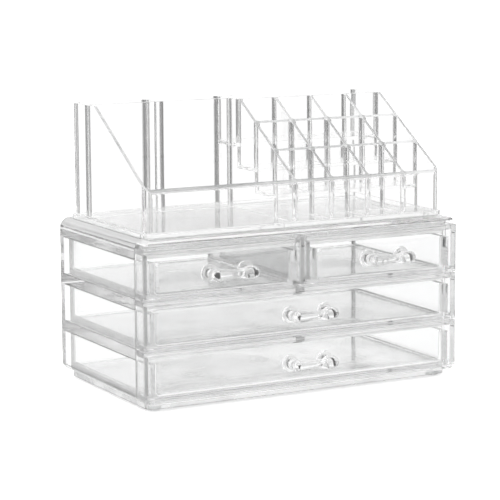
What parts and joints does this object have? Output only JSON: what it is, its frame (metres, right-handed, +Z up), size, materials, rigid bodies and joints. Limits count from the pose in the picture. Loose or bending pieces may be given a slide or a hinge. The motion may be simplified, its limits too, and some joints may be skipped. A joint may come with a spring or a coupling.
{
  "type": "makeup drawer organizer",
  "caption": "Clear plastic makeup organizer: a chest of drawers with bow handles under a lift-off tray with a stepped lipstick section and tall rear slots.",
  "frame": {"origin": "middle of the bounding box's bottom face, on the surface that the feet stand on", "axes": "+X to the right seen from the front, +Y from the drawer fronts to the back, +Z up"},
  "size_m": [0.2374, 0.1492, 0.1907],
  "materials": {
    "case_plastic": "clear, polished",
    "tray_plastic": "clear, polished",
    "drawer_plastic": "clear, polished",
    "handle_plastic": "clear, polished",
    "foot_pad": "translucent, matt"
  },
  "bodies": {
    "case": {"case": "case_plastic", "foot_front_left": "foot_pad", "foot_front_right": "foot_pad", "foot_back_left": "foot_pad", "foot_back_right": "foot_pad"},
    "tray": {"top_tray": "tray_plastic"},
    "bottom_drawer": {"drawer_bottom": "drawer_plastic", "handle_bottom": "handle_plastic"},
    "middle_drawer": {"drawer_middle": "drawer_plastic", "handle_middle": "handle_plastic"},
    "top_left_drawer": {"drawer_top_left": "drawer_plastic", "handle_top_left": "handle_plastic"},
    "top_right_drawer": {"drawer_top_right": "drawer_plastic", "handle_top_right": "handle_plastic"}
  },
  "joints": [
    {"name": "bottom_drawer_slide", "type": "slide", "parent": "case", "child": "bottom_drawer", "axis": [0, -1, 0], "range_m": [0, 0.095]},
    {"name": "middle_drawer_slide", "type": "slide", "parent": "case", "child": "middle_drawer", "axis": [0, -1, 0], "range_m": [0, 0.095]},
    {"name": "top_left_drawer_slide", "type": "slide", "parent": "case", "child": "top_left_drawer", "axis": [0, -1, 0], "range_m": [0, 0.095]},
    {"name": "top_right_drawer_slide", "type": "slide", "parent": "case", "child": "top_right_drawer", "axis": [0, -1, 0], "range_m": [0, 0.095]},
    {"name": "tray_lift", "type": "slide", "parent": "case", "child": "tray", "axis": [0, 0, 1], "range_m": [0, 0.06]}
  ]
}
